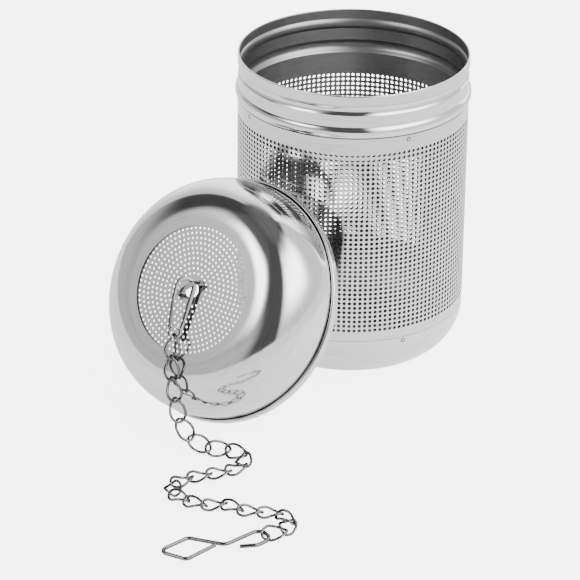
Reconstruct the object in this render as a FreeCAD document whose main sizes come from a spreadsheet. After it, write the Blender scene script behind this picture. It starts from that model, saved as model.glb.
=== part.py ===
import FreeCAD, Part

import math
import os
import re

import Sketcher
from FreeCAD import Matrix, Placement, Rotation, Vector

# Tea infuser: a pressed collar, a perforated tube and a drawn cup make the basket, which
# stands on the floor. Its lid leans on the basket, and a clasp, a chain and a wire hook
# run from the lid's strap down to the floor. Origin: centre of the basket's flat base.

doc = FreeCAD.newDocument("tea_infuser")
sheet = doc.addObject("Spreadsheet::Sheet", "Sizes")

# Millimetres and degrees. Every size that can be set by itself has one cell.
SIZES = {
    # basket
    "basket_height": 75.4,
    "neck_radius": 27.5,
    "neck_gauge": 0.45,
    "rim_band_width": 2.4,
    "groove_width": 2.5,
    "groove_radius": 1.8,
    "neck_setback": 0.1,
    "neck_band_width": 2.9,
    "bead_width": 2.8,
    "bead_radius": 1.83,
    "skirt_length": 5.9,
    "wall_step": 0.02,
    "wall_gauge": 0.4,
    "seam_gap": 0.1,
    "joint_clearance": 0.03,
    "bottom_rounding": 12.0,
    "cup_band": 0.4,
    "lip_length": 2.0,
    # lid
    "lid_height": 17.7,
    "lid_gauge": 0.4,
    "lid_slip": 0.25,
    "hem_height": 2.0,
    "hem_width": 0.81,
    "hem_top_round": 0.7,
    "hem_edge_round": 0.3,
    "shoulder_radius": 10.75,
    "shoulder_turn": 70.0,
    "flank_inset": 0.948,
    "window_edge": 2.15,
    "strainer_overlap": 1.65,
    "strainer_gauge": 0.3,
    "hole_radius": 0.275,
    "hole_pitch": 1.18,
    "first_ring_radius": 3.9,
    "hub_hole_radius": 1.85,
    # how the lid leans on the basket
    "lid_lean": 60.0,
    "lid_shift": -3.5,
    "lean_clearance": 0.3,
    # strap across the lid's middle
    "strap_width": 1.0,
    "strap_gauge": 0.5,
    "strap_rise": 2.25,
    "strap_top": 5.2,
    "strap_slope": 0.35,
    "strap_foot": 0.6,
    "strap_turn": 45.0,
    # clasp
    "clasp_plate": 0.6,
    "clasp_lean": 3.5,
    "clasp_swing": 3.0,
    "crown_radius": 2.5,
    "crown_thickness": 0.8,
    "crown_side": 1.1,
    "crown_slack": 0.15,
    "eye_distance": 10.6,
    "eye_outer": 1.6,
    "eye_inner": 0.95,
    "heel_inside": 0.95,
    "nose_drop": 3.3,
    "nose_width": 0.8,
    "gate_gap": 0.15,
    "gate_gauge": 0.45,
    "gate_width": 0.7,
    "gate_root": 0.4,
    "gate_above_eye": 1.25,
    "gate_clearance": 0.1,
    # chain
    "link_half_length": 2.88,
    "link_half_width": 1.88,
    "link_twist": 45.0,
    "link_wire": 0.32,
    "eye_slack": 0.2,
    "roll_per_link": 15.0,
    "roll_into_hook": 8.0,
    "hanging_slack": 0.22,
    "lying_slack": 0.57,
    # hook
    "hook_wire": 0.45,
    "hook_bend": 1.35,
    "hook_eye_bend": 2.1,
    "hook_slack": 0.23,
}

for row, (word, number) in enumerate(SIZES.items(), start=1):
    sheet.set(f"A{row}", word)
    sheet.set(f"B{row}", str(number))
    sheet.setAlias(f"B{row}", word)
doc.recompute()


def bound(formula):
    """The formula with every size name pointing into the sheet."""
    return re.sub(r"[a-z]+(_[a-z]+)+", r"Sizes.\g<0>", formula)


def value(formula):
    """The number that a formula of size names stands for."""
    return float(sheet.evalExpression(formula))


# ---------------------------------------------------------------- sketches and bodies


def new_body(label):
    body = doc.addObject("PartDesign::Body", label)
    body.Label = label
    return body


def sketch_on(body, role, name):
    """An empty sketch on one of the body's own origin planes."""
    sketch = body.newObject("Sketcher::SketchObject", name)
    plane = next(item for item in body.Origin.OriginFeatures if item.Role == role)
    sketch.AttachmentSupport = [(plane, "")]
    sketch.MapMode = "FlatFace"
    return sketch


def arc_between(start, end, radius):
    """The short arc from start to end; a positive radius bows it to the right of the way
    from start to end. Returns the arc and whether it runs from start to end."""
    chord = end - start
    middle = (start + end) * 0.5
    left = Vector(-chord.y, chord.x, 0).normalize()
    rise = math.sqrt(radius ** 2 - (chord.Length / 2) ** 2)
    centre = middle + left * math.copysign(rise, radius)
    first = math.atan2(start.y - centre.y, start.x - centre.x)
    last = math.atan2(end.y - centre.y, end.x - centre.x)
    circle = Part.Circle(centre, Vector(0, 0, 1), abs(radius))
    if radius > 0:
        return Part.ArcOfCircle(circle, first, last if last > first else last + math.tau), True
    return Part.ArcOfCircle(circle, last, first if first > last else first + math.tau), False


def draw_outline(sketch, corners):
    """A closed outline. Each corner is (across, up) or (across, up, radius), where the
    radius bows the edge that leads to the next corner: out to the right when positive."""
    points = [Vector(value(corner[0]), value(corner[1]), 0) for corner in corners]
    ends = []
    for index, corner in enumerate(corners):
        start = points[index]
        end = points[(index + 1) % len(points)]
        if len(corner) == 2:
            edge = sketch.addGeometry(Part.LineSegment(start, end), False)
            ends.append((edge, 1, 2))
            continue
        arc, forward = arc_between(start, end, value(corner[2]))
        edge = sketch.addGeometry(arc, False)
        ends.append((edge, 1, 2) if forward else (edge, 2, 1))
    for index, (edge, _, last) in enumerate(ends):
        following, begin, _ = ends[(index + 1) % len(ends)]
        sketch.addConstraint(Sketcher.Constraint("Coincident", edge, last, following, begin))
    for index, corner in enumerate(corners):
        edge, first, _ = ends[index]
        pin_point(sketch, edge, first, "DistanceX", -2, corner[0])
        pin_point(sketch, edge, first, "DistanceY", -1, corner[1])
        if len(corner) == 3:
            number = sketch.addConstraint(
                Sketcher.Constraint("Radius", edge, abs(value(corner[2]))))
            sketch.setExpression(f"Constraints[{number}]", bound(f"abs({corner[2]})"))


def pin_point(sketch, edge, end, kind, axis, formula):
    """Ties a point's place along one axis to its formula; a zero lies on the other axis."""
    if formula == "0":
        sketch.addConstraint(Sketcher.Constraint("PointOnObject", edge, end, axis))
        return
    number = sketch.addConstraint(
        Sketcher.Constraint(kind, -1, 1, edge, end, value(formula)))
    sketch.setExpression(f"Constraints[{number}]", bound(formula))


def turned_piece(label, corners):
    """A sheet-metal piece turned about Z from its section (radius, height)."""
    body = new_body(label)
    sketch = sketch_on(body, "XZ_Plane", label + "_section")
    draw_outline(sketch, corners)
    turn = body.newObject("PartDesign::Revolution", label + "_turn")
    turn.Profile = sketch
    turn.ReferenceAxis = (sketch, ["V_Axis"])
    turn.Angle = 360
    body.Tip = turn
    return body


def stamped_plate(body, outline, thickness):
    """A flat plate in the body's XY plane, half of its thickness on each side."""
    sketch = sketch_on(body, "XY_Plane", body.Name + "_outline")
    draw_outline(sketch, outline)
    pad = body.newObject("PartDesign::Pad", body.Name + "_plate")
    pad.Profile = sketch
    pad.setExpression("Length", bound(thickness))
    pad.SideType = "Symmetric"
    body.Tip = pad
    return pad


def punch_hole(body, name, across, up, radius):
    """A round hole right through a plate that lies in the body's XY plane."""
    sketch = sketch_on(body, "XY_Plane", name + "_circle")
    centre = Vector(value(across), value(up), 0)
    circle = sketch.addGeometry(Part.Circle(centre, Vector(0, 0, 1), value(radius)), False)
    pin_point(sketch, circle, 3, "DistanceX", -2, across)
    pin_point(sketch, circle, 3, "DistanceY", -1, up)
    number = sketch.addConstraint(Sketcher.Constraint("Radius", circle, value(radius)))
    sketch.setExpression(f"Constraints[{number}]", bound(radius))
    pocket = body.newObject("PartDesign::Pocket", name)
    pocket.Profile = sketch
    pocket.Type = "ThroughAll"
    pocket.SideType = "Symmetric"
    body.Tip = pocket
    return pocket


def frame_at(origin, along, across, normal):
    """A placement whose X, Y and Z run along three given directions."""
    turn = Matrix(
        along.x, across.x, normal.x, 0,
        along.y, across.y, normal.y, 0,
        along.z, across.z, normal.z, 0,
        0, 0, 0, 1)
    return Placement(origin, Rotation(turn))


# ---------------------------------------------------------------- basket

COLLAR_DEPTH = "(rim_band_width + groove_width + neck_band_width + bead_width)"
BEAD_FOOT = f"(basket_height - {COLLAR_DEPTH})"
BEAD_TOP = f"({BEAD_FOOT} + bead_width)"
GROOVE_FOOT = f"({BEAD_TOP} + neck_band_width)"
GROOVE_TOP = f"({GROOVE_FOOT} + groove_width)"
RIM_SPRING = "(basket_height - neck_gauge / 2)"
BAND_RADIUS = "(neck_radius - neck_setback)"
WALL_RADIUS = "(neck_radius - wall_step)"
WALL_INSIDE = f"({WALL_RADIUS} - wall_gauge)"
SKIRT_RADIUS = f"({WALL_INSIDE} - joint_clearance)"
CUP_HEIGHT = "(bottom_rounding + cup_band)"
CUP_FLAT = f"({WALL_RADIUS} - bottom_rounding)"
INNER_RADIUS = f"({SKIRT_RADIUS} - neck_gauge)"


def collar_ring():
    """Pressed neck: rim band, groove, band, standing bead, and a skirt inside the wall."""
    return turned_piece("collar_ring", [
        (SKIRT_RADIUS, f"{BEAD_FOOT} - skirt_length"),
        (SKIRT_RADIUS, f"{BEAD_FOOT}"),
        (BAND_RADIUS, BEAD_FOOT, "bead_radius"),
        (BAND_RADIUS, BEAD_TOP),
        (BAND_RADIUS, GROOVE_FOOT, "-groove_radius"),
        ("neck_radius", GROOVE_TOP),
        ("neck_radius", RIM_SPRING, "neck_gauge / 2"),
        ("neck_radius - neck_gauge / 2", "basket_height", "neck_gauge / 2"),
        ("neck_radius - neck_gauge", RIM_SPRING),
        ("neck_radius - neck_gauge", GROOVE_TOP, "groove_radius"),
        (f"{BAND_RADIUS} - neck_gauge", GROOVE_FOOT),
        (f"{BAND_RADIUS} - neck_gauge", BEAD_TOP, "-bead_radius"),
        (f"{BAND_RADIUS} - neck_gauge", BEAD_FOOT),
        (INNER_RADIUS, f"{BEAD_FOOT} - neck_gauge"),
        (INNER_RADIUS, f"{BEAD_FOOT} - skirt_length"),
    ])


def mesh_wall():
    """Perforated tube between the bead and the cup."""
    return turned_piece("mesh_wall", [
        (WALL_RADIUS, f"{CUP_HEIGHT} + seam_gap"),
        (WALL_RADIUS, f"{BEAD_FOOT} - seam_gap"),
        (WALL_INSIDE, f"{BEAD_FOOT} - seam_gap"),
        (WALL_INSIDE, f"{CUP_HEIGHT} + seam_gap"),
    ])


def bottom_cup():
    """Drawn cup: flat base, rounded foot, and a lip set in to fit inside the tube."""
    lip_inside = f"({SKIRT_RADIUS} - wall_gauge)"
    return turned_piece("bottom_cup", [
        ("0", "0"),
        (CUP_FLAT, "0", "bottom_rounding"),
        (WALL_RADIUS, "bottom_rounding"),
        (WALL_RADIUS, CUP_HEIGHT),
        (SKIRT_RADIUS, CUP_HEIGHT),
        (SKIRT_RADIUS, f"{CUP_HEIGHT} + lip_length"),
        (lip_inside, f"{CUP_HEIGHT} + lip_length"),
        (lip_inside, CUP_HEIGHT),
        (WALL_INSIDE, "bottom_rounding", "-(bottom_rounding - wall_gauge)"),
        (CUP_FLAT, "wall_gauge"),
        ("0", "wall_gauge"),
    ])


# ---------------------------------------------------------------- lid

CREASE_RADIUS = "(neck_radius + lid_slip + lid_gauge)"
HEM_RADIUS = f"({CREASE_RADIUS} + hem_width)"
SHOULDER_END = f"({CREASE_RADIUS} - flank_inset)"
FLAT_RADIUS = f"({SHOULDER_END} - shoulder_radius * sin(shoulder_turn))"
WINDOW_RADIUS = f"({FLAT_RADIUS} - window_edge)"
SHOULDER_FOOT = "(lid_height - shoulder_radius * (1 - cos(shoulder_turn)))"
FLANK_RADIUS = "(flank_inset / (1 - sin(shoulder_turn)))"
FLANK_FOOT = f"({SHOULDER_FOOT} - {FLANK_RADIUS} * cos(shoulder_turn))"


def lid_place():
    """Where the lid lies: leaning back, its hem on the floor and its rim plane against
    the wall. The lid's own Z is its axis, pointing out of the dome."""
    lean = math.radians(value("lid_lean"))
    rounding = value("hem_edge_round")
    roll = value(f"{HEM_RADIUS} - hem_edge_round")
    height = roll * math.sin(lean) - rounding * math.cos(lean) + rounding
    reach = roll / math.cos(lean)
    apart = reach + value(f"{WALL_RADIUS} + lean_clearance") + rounding
    depth = -math.sqrt(apart ** 2 - value("lid_shift") ** 2)
    depth += reach - roll * math.cos(lean) + rounding * math.sin(lean)
    return Placement(
        Vector(value("lid_shift"), depth, height),
        Rotation(Vector(1, 0, 0), value("lid_lean")))


LID = lid_place()


def lid_dome():
    """Dome with a window, a rounded shoulder and a folded hem that slips over the neck."""
    body = turned_piece("lid_dome", [
        (WINDOW_RADIUS, "lid_height - lid_gauge"),
        (FLAT_RADIUS, "lid_height - lid_gauge", "-(shoulder_radius - lid_gauge)"),
        (f"{SHOULDER_END} - lid_gauge * sin(shoulder_turn)",
         f"{SHOULDER_FOOT} - lid_gauge * cos(shoulder_turn)",
         f"-({FLANK_RADIUS} - lid_gauge)"),
        (f"{CREASE_RADIUS} - lid_gauge", FLANK_FOOT),
        (f"{CREASE_RADIUS} - lid_gauge", "0"),
        (f"{HEM_RADIUS} - hem_edge_round", "0", "hem_edge_round"),
        (HEM_RADIUS, "hem_edge_round"),
        (HEM_RADIUS, "hem_height - hem_top_round", "hem_top_round"),
        (f"{HEM_RADIUS} - hem_top_round", "hem_height"),
        (CREASE_RADIUS, "hem_height"),
        (CREASE_RADIUS, FLANK_FOOT, FLANK_RADIUS),
        (SHOULDER_END, SHOULDER_FOOT, "shoulder_radius"),
        (FLAT_RADIUS, "lid_height"),
        (WINDOW_RADIUS, "lid_height"),
    ])
    body.Placement = LID
    return body


def strainer_holes():
    """Centres of the strainer's holes: rings one pitch apart from the first ring out."""
    pitch = value("hole_pitch")
    radius = value("first_ring_radius")
    centres = []
    while radius + pitch / 2 < value(WINDOW_RADIUS):
        count = round(math.tau * radius / pitch)
        for index in range(count):
            angle = math.tau * index / count
            centres.append(Vector(radius * math.cos(angle), radius * math.sin(angle), 0))
        radius += pitch
    return centres


def lid_strainer():
    """Flat perforated disc under the dome's window. Its hundreds of holes are punched
    straight through, so one face with all its holes is extruded."""
    up = Vector(0, 0, 1)
    level = Vector(0, 0, value("lid_height - lid_gauge - strainer_gauge"))
    rounds = [(Vector(), value(f"{WINDOW_RADIUS} + strainer_overlap")),
              (Vector(), value("hub_hole_radius"))]
    rounds += [(centre, value("hole_radius")) for centre in strainer_holes()]
    wires = [Part.Wire([Part.Circle(centre + level, up, radius).toShape()])
             for centre, radius in rounds]
    face = Part.Face(wires, "Part::FaceMakerBullseye")
    piece = doc.addObject("Part::Feature", "lid_strainer")
    piece.Shape = face.extrude(up * value("strainer_gauge"))
    piece.Placement = LID
    return piece


def strap():
    """Flat strap that bridges the strainer's middle hole; the clasp hangs on it."""
    seat = "(lid_height - lid_gauge)"
    crest = "(lid_height + strap_rise + strap_gauge / 2)"
    top = "strap_top / 2"
    knee = "(strap_top / 2 + strap_slope)"
    toe = "(strap_top / 2 + strap_slope + strap_foot)"
    lap = "strap_gauge / 2"
    body = new_body("strap")
    sketch = sketch_on(body, "XZ_Plane", "strap_side")
    draw_outline(sketch, [
        (f"-{toe}", seat),
        (f"-({knee} - {lap})", seat),
        (f"-({top} - {lap} / 2)", f"{crest} - strap_gauge"),
        (f"{top} - {lap} / 2", f"{crest} - strap_gauge"),
        (f"{knee} - {lap}", seat),
        (toe, seat),
        (toe, f"{seat} + strap_gauge"),
        (knee, f"{seat} + strap_gauge"),
        (top, crest),
        (f"-{top}", crest),
        (f"-{knee}", f"{seat} + strap_gauge"),
        (f"-{toe}", f"{seat} + strap_gauge"),
    ])
    pad = body.newObject("PartDesign::Pad", "strap_strip")
    pad.Profile = sketch
    pad.setExpression("Length", bound("strap_width"))
    pad.SideType = "Symmetric"
    body.Tip = pad
    body.Placement = LID * Placement(Vector(), Rotation(Vector(0, 0, 1), value("strap_turn")))
    return body


# ---------------------------------------------------------------- clasp

# In the clasp's own frame X runs across its loop, Y down towards the eye, Z out of the
# plate. The crown's centre, where the strap passes, is its origin.
LEG_INSIDE = "(crown_radius - nose_width)"
LONG_INSIDE = "(crown_radius - crown_side)"
CROWN_INNER = f"(({LEG_INSIDE} + {LONG_INSIDE}) / 2)"
CROWN_MIDDLE = f"(({LEG_INSIDE} - {LONG_INSIDE}) / 2)"
CROWN_APEX = "(crown_radius - crown_thickness)"
CROWN_LEVEL = f"({CROWN_INNER} - {CROWN_APEX})"
HEEL_LEVEL = "(eye_distance - sqrt(eye_outer * eye_outer - heel_inside * heel_inside))"
PIVOT_ACROSS = "(eye_outer - gate_clearance / 2)"
PIVOT_ALONG = "(eye_distance - gate_above_eye)"


def clasp_place():
    """Where the clasp hangs: round the strap, its long axis down the lid's face."""
    swing = math.radians(value("clasp_swing"))
    lean = math.radians(value("clasp_lean"))
    turn = math.radians(value("strap_turn"))
    normal = Vector(math.sin(turn), 0, math.cos(turn))
    down = Vector(math.sin(swing), -math.cos(swing), -math.tan(lean))
    down = (down - normal * down.dot(normal)).normalize()
    middle = Vector(0, 0, value("lid_height + strap_rise")) - down * value("crown_slack")
    return LID * frame_at(middle, down.cross(normal), down, normal)


CLASP = clasp_place()


def clasp_body():
    """Stamped snap clasp: a crown round the strap, one short leg that ends in a nose,
    one long leg, and an eye for the chain. The gate's round root has its seat here."""
    body = new_body("clasp_body")
    stamped_plate(body, [
        ("crown_radius", "0"),
        ("crown_radius", "nose_drop"),
        (LEG_INSIDE, "nose_drop"),
        (LEG_INSIDE, CROWN_LEVEL, f"-{CROWN_INNER}"),
        (CROWN_MIDDLE, f"-{CROWN_APEX}", f"-{CROWN_INNER}"),
        (f"-{LONG_INSIDE}", CROWN_LEVEL),
        ("-heel_inside", HEEL_LEVEL, "eye_outer"),
        ("eye_outer", "eye_distance", "eye_outer"),
        ("0", "eye_distance + eye_outer", "eye_outer"),
        ("-eye_outer", "eye_distance"),
        ("-crown_radius", "0", "crown_radius"),
        ("0", "-crown_radius", "crown_radius"),
    ], "clasp_plate")
    punch_hole(body, "clasp_eye", "0", "eye_distance", "eye_inner")
    punch_hole(body, "gate_seat", PIVOT_ACROSS, PIVOT_ALONG, "gate_root + gate_clearance")
    body.Placement = CLASP
    return body


def clasp_gate():
    """Spring strip that closes the clasp from its root beside the eye up to the nose."""
    tip = "(nose_drop + gate_gap)"
    tip_outside = "(crown_radius - gate_clearance)"
    body = new_body("clasp_gate")
    stamped_plate(body, [
        (f"{tip_outside} - gate_gauge", tip),
        (tip_outside, tip),
        (f"{PIVOT_ACROSS} + gate_root", PIVOT_ALONG, "gate_root"),
        (PIVOT_ACROSS, f"{PIVOT_ALONG} + gate_root", "gate_root"),
        (f"{PIVOT_ACROSS} - gate_root", PIVOT_ALONG),
    ], "gate_width")
    body.Placement = CLASP
    return body


# ---------------------------------------------------------------- chain

# Heading of each link on the floor plan and drop of each hanging link, in degrees: the
# way the loose chain fell. The first link starts in the clasp's eye.
HEADINGS = [-66, -49, -28, -21, 14, 29, 33, -1, -51, -102, -126, -122,
            -106, -56, -6, 9, 49, -1, 27, 28, -22, -72, -122]
DROPS = [59, 59, 64, 66, 54, 27]
LINKS_ON_LID = 3
LINKS_ROLLED = 3
LINK_CORNERS = 8


def link_corners():
    """Corners of the eight-sided loop that one link's wire rounds off. The loop is an
    oval whose two ends are turned opposite ways about its long axis."""
    stretch = 1 / math.cos(math.pi / LINK_CORNERS)
    twist = math.radians(value("link_twist"))
    corners = []
    for index in range(LINK_CORNERS):
        angle = math.tau * (index + 0.5) / LINK_CORNERS
        along = math.cos(angle) * stretch
        out = value("link_half_width") * math.sin(angle) * stretch
        roll = -twist * along
        corners.append(Vector(
            value("link_half_length") * along, out * math.cos(roll), out * math.sin(roll)))
    return corners


def rounded_corner(before, corner, after):
    """The bend at a corner, tangent at the nearer of the two edges' middles, with the
    straight bits that lead from one middle to the other."""
    start = (before + corner) * 0.5
    end = (corner + after) * 0.5
    back = (start - corner).normalize()
    ahead = (end - corner).normalize()
    run = min((start - corner).Length, (end - corner).Length) * 0.999
    half = back.getAngle(ahead) / 2
    bend = run * math.tan(half)
    centre = corner + (back + ahead).normalize() * (run / math.cos(half))
    middle = centre - (back + ahead).normalize() * bend
    first = corner + back * run
    last = corner + ahead * run
    return [Part.LineSegment(start, first).toShape(),
            Part.Arc(first, middle, last).toShape(),
            Part.LineSegment(last, end).toShape()]


def link_shape():
    """One link of round wire, swept in two halves that meet in the middle of a side."""
    corners = link_corners()
    halves = []
    for first in (0, LINK_CORNERS // 2):
        edges = []
        for index in range(first, first + LINK_CORNERS // 2):
            edges += rounded_corner(
                corners[index - 1], corners[index], corners[(index + 1) % LINK_CORNERS])
        start = (corners[first - 1] + corners[first]) * 0.5
        section = Part.Circle(start, corners[first] - start, value("link_wire"))
        path = Part.Wire(edges)
        halves.append(path.makePipeShell([Part.Wire([section.toShape()])], True, False, 2))
    return halves[0].fuse(halves[1]).Solids[0]


def direction(heading, drop):
    heading = math.radians(heading)
    drop = math.radians(drop)
    return Vector(
        math.cos(drop) * math.cos(heading), math.cos(drop) * math.sin(heading),
        -math.sin(drop))


def chain_directions(steepness):
    """Each link's long direction, with the hanging links' drops scaled together."""
    drops = [min(drop * steepness, 89) for drop in DROPS]
    drops += [0] * (len(HEADINGS) - len(DROPS))
    return [direction(heading, drop) for heading, drop in zip(HEADINGS, drops)]


def chain_centres(ways):
    """Centre of each link, from the clasp's eye on."""
    hold = value("eye_distance + eye_inner - link_wire - eye_slack")
    start = CLASP.multVec(Vector(0, hold, 0))
    centres = [start + ways[0] * value("link_half_length")]
    for index in range(1, len(ways)):
        slack = value("hanging_slack" if index < len(DROPS) else "lying_slack")
        pitch = value("2 * (link_half_length - link_wire)") - slack
        centres.append(centres[-1] + (ways[index - 1] + ways[index]) * (pitch / 2))
    return centres


def settle_chain(rest):
    """Scales the drops until the first lying link's centre is at its resting height."""
    low = 0.2
    high = 1.6
    for _ in range(40):
        steepness = (low + high) / 2
        if chain_centres(chain_directions(steepness))[len(DROPS)].z > rest:
            low = steepness
        else:
            high = steepness
    return chain_directions(steepness)


def link_normals(ways):
    """Direction of each link's mean normal. The first lies on the lid, facing along the
    lid's axis, and each next one keeps the roll of the link before it. Past the lid each
    turns back towards upright by a few degrees. The last links roll on, each a little
    more, to let the hook's eye through."""
    most = math.radians(value("roll_per_link"))
    normal = LID.Rotation.multVec(Vector(0, 0, 1))
    normals = []
    for index, way in enumerate(ways):
        if index:
            normal = Rotation(ways[index - 1], way).multVec(normal)
        normal = (normal - way * normal.dot(way)).normalize()
        upright = (Vector(0, 0, 1) + way * way.z * -1).normalize()
        roll = math.atan2(normal.cross(upright).dot(way), normal.dot(upright))
        if index >= LINKS_ON_LID:
            roll = max(-most, min(most, roll))
            normal = Rotation(way, math.degrees(roll)).multVec(normal)
        normals.append(normal)
    for step in range(1, LINKS_ROLLED + 1):
        index = len(ways) - LINKS_ROLLED + step - 1
        more = Rotation(ways[index], -step * value("roll_into_hook"))
        normals[index] = more.multVec(normals[index])
    return normals


def chain_links():
    shape = link_shape()
    rest = shape.optimalBoundingBox().ZMax
    ways = settle_chain(rest)
    centres = chain_centres(ways)
    places = []
    for index, (centre, way, normal) in enumerate(zip(centres, ways, link_normals(ways))):
        place = frame_at(centre, way, normal.cross(way), normal)
        if index >= len(ways) - LINKS_ROLLED:
            posed = shape.copy()
            posed.Placement = place
            place.Base.z -= posed.optimalBoundingBox().ZMin
        piece = doc.addObject("Part::Feature", f"chain_link_{index + 1:02d}")
        piece.Shape = shape
        piece.Placement = place
        places.append(place)
    return places


# ---------------------------------------------------------------- hook

# The hook is one wire bent flat: length of each straight run to the next corner, and
# the turn there in degrees, anticlockwise positive. First the four sides of the diamond,
# then the neck and the long eye that hangs on the last link.
HOOK_BENDS = [
    (8.19, -70),
    (7.10, -113),
    (8.07, -58),
    (8.77, 57),
    (9.40, -88),
    (4.55, -91),
    (4.20, -33),
    (3.94, 0),
]
DIAMOND_BENDS = 3
FAR_SIDE = 1
EYE_TOP = 5
HOOK_HEADING = -191


def hook_corners():
    """Corners of the hook's centre line, from the origin along +Y."""
    corner = Vector()
    way = Vector(0, 1, 0)
    corners = [corner]
    for run, turn in HOOK_BENDS:
        corner = corner + way * run
        corners.append(corner)
        way = Rotation(Vector(0, 0, 1), turn).multVec(way)
    return corners


def bend_trim(index):
    """Bend radius at a corner of the hook, and how much of each run it takes up."""
    radius = value("hook_bend" if index <= DIAMOND_BENDS else "hook_eye_bend")
    turn = math.radians(abs(HOOK_BENDS[index - 1][1]))
    return radius, radius * math.tan(turn / 2)


def draw_hook_path(sketch):
    """Centre line: straight runs with an arc at each corner, all joined end to end."""
    corners = hook_corners()
    ends = []
    start = corners[0]
    for index in range(1, len(corners) - 1):
        radius, trim = bend_trim(index)
        before = (corners[index - 1] - corners[index]).normalize()
        after = (corners[index + 1] - corners[index]).normalize()
        first = corners[index] + before * trim
        last = corners[index] + after * trim
        line = sketch.addGeometry(Part.LineSegment(start, first), False)
        side = radius if HOOK_BENDS[index - 1][1] > 0 else -radius
        arc, forward = arc_between(first, last, side)
        bend = sketch.addGeometry(arc, False)
        ends += [(line, 1, 2), (bend, 1, 2) if forward else (bend, 2, 1)]
        start = last
    line = sketch.addGeometry(Part.LineSegment(start, corners[-1]), False)
    ends.append((line, 1, 2))
    for (edge, _, last), (following, first, _) in zip(ends, ends[1:]):
        sketch.addConstraint(Sketcher.Constraint("Coincident", edge, last, following, first))


def hook_place(last_link):
    """Where the hook lies: its eye held by the last link, its far side on the floor."""
    hold = value("link_half_length - link_wire - hook_wire - hook_slack")
    held = last_link.multVec(Vector(hold, 0, 0))
    corners = hook_corners()
    eye = (corners[EYE_TOP] + corners[EYE_TOP + 1]) * 0.5
    flat = Rotation(Vector(0, 0, 1), HOOK_HEADING)
    side = flat.multVec(corners[FAR_SIDE + 1] - corners[FAR_SIDE]).normalize()
    arm = flat.multVec(corners[FAR_SIDE] - eye)
    reach = side.cross(arm)
    tilt = math.degrees(math.asin((held.z - value("hook_wire")) / abs(reach.z)))
    turn = Rotation(side, -math.copysign(tilt, reach.z)) * flat
    return Placement(held - turn.multVec(eye), turn), held


def hook(last_link):
    """Wire hook: a diamond whose free end stops short of the neck, and a long eye."""
    body = new_body("hook")
    path = sketch_on(body, "XY_Plane", "hook_path")
    draw_hook_path(path)
    section = sketch_on(body, "XZ_Plane", "hook_section")
    circle = section.addGeometry(
        Part.Circle(Vector(), Vector(0, 0, 1), value("hook_wire")), False)
    section.addConstraint(Sketcher.Constraint("Coincident", circle, 3, -1, 1))
    number = section.addConstraint(Sketcher.Constraint("Radius", circle, value("hook_wire")))
    section.setExpression(f"Constraints[{number}]", bound("hook_wire"))
    wire = body.newObject("PartDesign::AdditivePipe", "hook_wire_sweep")
    wire.Profile = section
    wire.Spine = (path, [])
    body.Tip = wire
    body.Placement, held = hook_place(last_link)
    return held


# ---------------------------------------------------------------- assembly


def make_parts():
    """Builds every piece and returns the places that the joints need, in millimetres."""
    collar_ring()
    mesh_wall()
    bottom_cup()
    lid_dome()
    lid_strainer()
    strap()
    clasp_body()
    clasp_gate()
    links = chain_links()
    held = hook(links[-1])
    doc.recompute()
    return links, held


def sub_parts():
    return [item for item in doc.Objects
            if item.TypeId in ("PartDesign::Body", "Part::Feature")]


def check_parts():
    """Stops with an error if any object failed or any piece is not one sound solid."""
    for item in doc.Objects:
        if "Invalid" in item.State or "Error" in item.State:
            raise RuntimeError(f"{item.Label} failed: {item.State}")
    for item in sub_parts():
        if item.Shape.isNull() or not item.Shape.isValid() or len(item.Shape.Solids) != 1:
            raise RuntimeError(f"{item.Label} is not one sound solid")


def export_parts():
    os.makedirs("parts", exist_ok=True)
    for item in sub_parts():
        item.Shape.exportStep(f"parts/{item.Label}.step")


LINKS, HOOK_HELD = make_parts()
check_parts()
export_parts()
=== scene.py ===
import math

import bmesh
import bpy
from mathutils import Matrix, Vector


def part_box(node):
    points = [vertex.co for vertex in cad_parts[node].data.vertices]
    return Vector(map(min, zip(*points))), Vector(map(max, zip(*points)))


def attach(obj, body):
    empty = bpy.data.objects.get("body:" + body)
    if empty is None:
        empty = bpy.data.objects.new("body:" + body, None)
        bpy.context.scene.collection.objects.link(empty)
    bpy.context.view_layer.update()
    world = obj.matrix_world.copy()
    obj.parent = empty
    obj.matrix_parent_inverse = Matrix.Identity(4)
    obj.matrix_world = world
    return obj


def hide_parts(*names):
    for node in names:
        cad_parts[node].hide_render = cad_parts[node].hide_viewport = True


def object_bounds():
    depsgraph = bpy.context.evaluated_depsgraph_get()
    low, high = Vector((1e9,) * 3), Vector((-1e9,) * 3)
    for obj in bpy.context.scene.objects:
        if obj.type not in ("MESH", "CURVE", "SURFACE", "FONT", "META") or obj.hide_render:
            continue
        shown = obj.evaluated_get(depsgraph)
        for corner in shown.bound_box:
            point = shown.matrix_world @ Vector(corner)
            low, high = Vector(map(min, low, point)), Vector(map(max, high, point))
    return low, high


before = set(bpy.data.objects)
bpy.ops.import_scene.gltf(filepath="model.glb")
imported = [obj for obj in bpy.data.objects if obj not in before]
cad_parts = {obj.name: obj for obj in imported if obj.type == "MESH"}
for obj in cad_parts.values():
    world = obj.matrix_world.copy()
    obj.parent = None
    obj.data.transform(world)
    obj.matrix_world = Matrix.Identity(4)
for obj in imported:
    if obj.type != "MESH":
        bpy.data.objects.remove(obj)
cad_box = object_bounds()

# Lengths below are in millimetres and become metres when a mesh is finished.
MM = 0.001
# Steps round a full turn, or round a hole.
SPIN_STEPS = 224
DOME_STEPS = 256
HOLE_STEPS = 8
WELD_STEPS = 20
DISC_STEPS = 128
DISC_HOLE_STEPS = 10
HUB_STEPS = 40
EYE_STEPS = 28

# ------------------------------------------------------------------ sizes

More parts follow.
